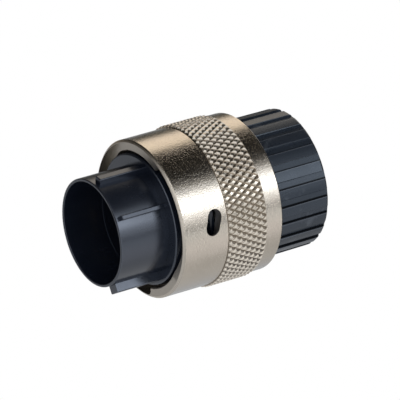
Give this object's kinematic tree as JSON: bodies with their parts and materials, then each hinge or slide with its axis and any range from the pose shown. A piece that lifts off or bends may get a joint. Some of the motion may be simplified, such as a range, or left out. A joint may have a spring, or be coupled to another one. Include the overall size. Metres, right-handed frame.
{
  "type": "circular connector",
  "caption": "Circular cable plug with a keyed plastic barrel, a knurled metal bayonet coupling ring and a ribbed plastic gland nut.",
  "frame": {"origin": "middle of the gland nut's flat rear face, which the part stands on", "axes": "+Z along the connector's axis, out of the mating end; the side seen in the picture faces -Y"},
  "size_m": [0.0348, 0.0348, 0.0494],
  "materials": {
    "shell_plastic": "moulded, semi-gloss dark blue-grey",
    "nut_plastic": "moulded, satin dark blue-grey",
    "insert_plastic": "moulded, matt black",
    "plated_metal": "satin nickel plating, warm grey",
    "seal_rubber": "matt black",
    "contact_metal": "gold plated",
    "spring_steel": "plain stainless strip"
  },
  "bodies": {
    "shell": {"plug_shell": "shell_plastic", "flange_seal": "seal_rubber", "front_insert": "insert_plastic", "rear_insert": "insert_plastic", "wire_seal": "seal_rubber", "pressure_plate": "insert_plastic", "snap_ring": "spring_steel", "spacer_sleeve": "insert_plastic", "gland_seal": "seal_rubber", "wave_spring": "spring_steel", "retaining_ring": "spring_steel", "pin_contact_1": "contact_metal", "pin_contact_2": "contact_metal", "pin_contact_3": "contact_metal", "pin_contact_4": "contact_metal", "pin_contact_5": "contact_metal", "pin_contact_6": "contact_metal", "pin_contact_7": "contact_metal", "pin_contact_8": "contact_metal"},
    "thrust_washer": {"thrust_washer": "spring_steel"},
    "coupling_ring": {"coupling_ring": "plated_metal"},
    "clamp_ring": {"clamp_ring": "insert_plastic"},
    "gland_nut": {"gland_nut": "nut_plastic"}
  },
  "joints": [
    {"name": "ring_float", "type": "slide", "parent": "shell", "child": "thrust_washer", "axis": [0, 0, 1], "range_m": [0, 0.0008], "stiffness_N_per_m": 4000, "springref_m": -0.001, "deforming": ["wave_spring"]},
    {"name": "ring_turn", "type": "hinge", "parent": "thrust_washer", "child": "coupling_ring", "pos_m": [0, 0, 0.0257], "axis": [0, 0, 1], "continuous": true},
    {"name": "clamp_slide", "type": "slide", "parent": "shell", "child": "clamp_ring", "axis": [0, 0, 1], "range_m": [-0.0075, 0]},
    {"name": "nut_turn", "type": "hinge", "parent": "clamp_ring", "child": "gland_nut", "pos_m": [0, 0, 0.01], "axis": [0, 0, 1], "range_deg": [-1800, 0]}
  ],
  "couplings": [
    {"joint": "clamp_slide", "follows": "nut_turn", "m_per_rad": 0.00023873}
  ]
}
